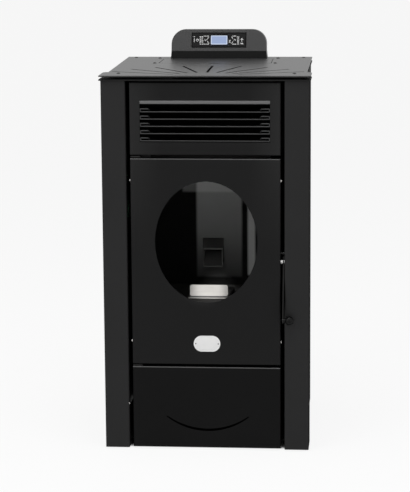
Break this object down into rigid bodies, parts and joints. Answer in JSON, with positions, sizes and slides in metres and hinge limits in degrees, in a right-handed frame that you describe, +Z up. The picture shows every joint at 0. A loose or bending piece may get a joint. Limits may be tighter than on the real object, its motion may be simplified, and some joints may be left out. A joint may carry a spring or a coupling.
{
  "type": "pellet stove",
  "caption": "Free-standing pellet stove: folded steel cabinet, louvred air outlet, oval-window fire door, ash drawer, top hopper with lid and a leaning control console.",
  "frame": {"origin": "centre of the bounding box's bottom face, on the floor", "axes": "+X to the right of someone facing the door, +Y from the door towards the flue, +Z up"},
  "size_m": [0.53, 0.6113, 1.04],
  "materials": {
    "black_paint": "fine textured matt black stove paint",
    "dark_paint": "matt black heat-proof paint",
    "zinc_sheet": "plain zinc-coated sheet",
    "bare_steel": "bright plain steel",
    "cast_iron": "heat-darkened rough steel and iron",
    "pot_steel": "pale heat-proof stainless steel",
    "vermiculite": "pressed vermiculite board",
    "rope_seal": "braided glass-fibre rope",
    "dark_glass": "clear fire-proof glass ceramic",
    "black_plastic": "satin black plastic",
    "grey_plastic": "dark grey plastic",
    "lcd": "back-lit blue-grey display window",
    "white_enamel": "smooth white enamel",
    "board_green": "circuit board"
  },
  "bodies": {
    "cabinet": {"top_plate": "black_paint", "cabinet_top": "black_paint", "left_column": "black_paint", "right_column": "black_paint", "left_side_panel": "black_paint", "right_side_panel": "black_paint", "rear_panel": "zinc_sheet", "base_pan": "dark_paint", "front_left_foot": "black_plastic", "front_right_foot": "black_plastic", "rear_left_foot": "black_plastic", "rear_right_foot": "black_plastic", "louvre_panel": "black_paint", "air_grille": "dark_paint", "firebox": "cast_iron", "firebox_liner": "vermiculite", "fire_baffle": "cast_iron", "burn_pot_cradle": "bare_steel", "upper_hinge_bracket": "bare_steel", "lower_hinge_bracket": "bare_steel", "latch_catch": "bare_steel", "lower_frame": "zinc_sheet", "hopper": "zinc_sheet", "hopper_guard": "zinc_sheet", "auger_tube": "zinc_sheet", "auger_gearmotor": "bare_steel", "pellet_chute": "zinc_sheet", "exhaust_fan_housing": "zinc_sheet", "exhaust_fan_motor": "grey_plastic", "flue_pipe": "dark_paint", "air_intake_pipe": "zinc_sheet", "igniter": "bare_steel", "room_fan_housing": "zinc_sheet", "console_housing": "black_paint", "display_panel": "black_plastic", "lcd_screen": "lcd", "control_board": "board_green", "power_inlet": "black_plastic"},
    "door": {"door_skin": "black_paint", "glass_retainer": "zinc_sheet", "door_glass": "dark_glass", "glass_seal": "rope_seal", "door_frame": "dark_paint", "door_gasket": "rope_seal", "badge_plate": "white_enamel", "handle_pivot": "bare_steel"},
    "handle": {"handle_lever": "bare_steel", "handle_knob": "black_plastic"},
    "lid": {"hopper_lid": "black_paint"},
    "drawer": {"drawer_front": "black_paint", "ash_tray": "dark_paint"},
    "pot": {"burn_pot": "pot_steel"},
    "auger": {"auger_screw": "bare_steel"},
    "exhaust_rotor": {"exhaust_impeller": "bare_steel"},
    "room_rotor": {"room_fan_rotor": "bare_steel"},
    "left_outer_key": {"left_outer_button": "grey_plastic"},
    "left_inner_key": {"left_inner_button": "grey_plastic"},
    "right_inner_key": {"right_inner_button": "grey_plastic"},
    "right_outer_key": {"right_outer_button": "grey_plastic"},
    "rocker": {"power_rocker": "grey_plastic"}
  },
  "joints": [
    {"name": "door_hinge", "type": "hinge", "parent": "cabinet", "child": "door", "pos_m": [-0.176, -0.2643, 0.488], "axis": [0, 0, -1], "range_deg": [0, 110]},
    {"name": "handle_turn", "type": "hinge", "parent": "door", "child": "handle", "pos_m": [0.1963, -0.2603, 0.4895], "axis": [-1, 0, 0], "range_deg": [0, 60]},
    {"name": "lid_hinge", "type": "hinge", "parent": "cabinet", "child": "lid", "pos_m": [0, 0.1827, 0.9569], "axis": [-1, 0, 0], "range_deg": [0, 80]},
    {"name": "drawer_slide", "type": "slide", "parent": "cabinet", "child": "drawer", "axis": [0, -1, 0], "range_m": [0, 0.2]},
    {"name": "pot_lift", "type": "slide", "parent": "cabinet", "child": "pot", "axis": [0, 0, 1], "range_m": [0, 0.05]},
    {"name": "auger_spin", "type": "hinge", "parent": "cabinet", "child": "auger", "pos_m": [0, 0.0927, 0.575], "axis": [0, 1, 0], "continuous": true},
    {"name": "exhaust_spin", "type": "hinge", "parent": "cabinet", "child": "exhaust_rotor", "pos_m": [0.095, 0.0057, 0.302], "axis": [0, 1, 0], "continuous": true},
    {"name": "room_fan_spin", "type": "hinge", "parent": "cabinet", "child": "room_rotor", "pos_m": [0, 0.1717, 0.082], "axis": [1, 0, 0], "continuous": true},
    {"name": "left_outer_press", "type": "slide", "parent": "cabinet", "child": "left_outer_key", "axis": [0, 0.9659, -0.2588], "range_m": [0, 0.0008], "stiffness_N_per_m": 800},
    {"name": "left_inner_press", "type": "slide", "parent": "cabinet", "child": "left_inner_key", "axis": [0, 0.9659, -0.2588], "range_m": [0, 0.0008], "stiffness_N_per_m": 800},
    {"name": "right_inner_press", "type": "slide", "parent": "cabinet", "child": "right_inner_key", "axis": [0, 0.9659, -0.2588], "range_m": [0, 0.0008], "stiffness_N_per_m": 800},
    {"name": "right_outer_press", "type": "slide", "parent": "cabinet", "child": "right_outer_key", "axis": [0, 0.9659, -0.2588], "range_m": [0, 0.0008], "stiffness_N_per_m": 800},
    {"name": "rocker_tilt", "type": "hinge", "parent": "cabinet", "child": "rocker", "pos_m": [-0.2, 0.2467, 0.101], "axis": [-1, 0, 0], "range_deg": [0, 20]}
  ]
}
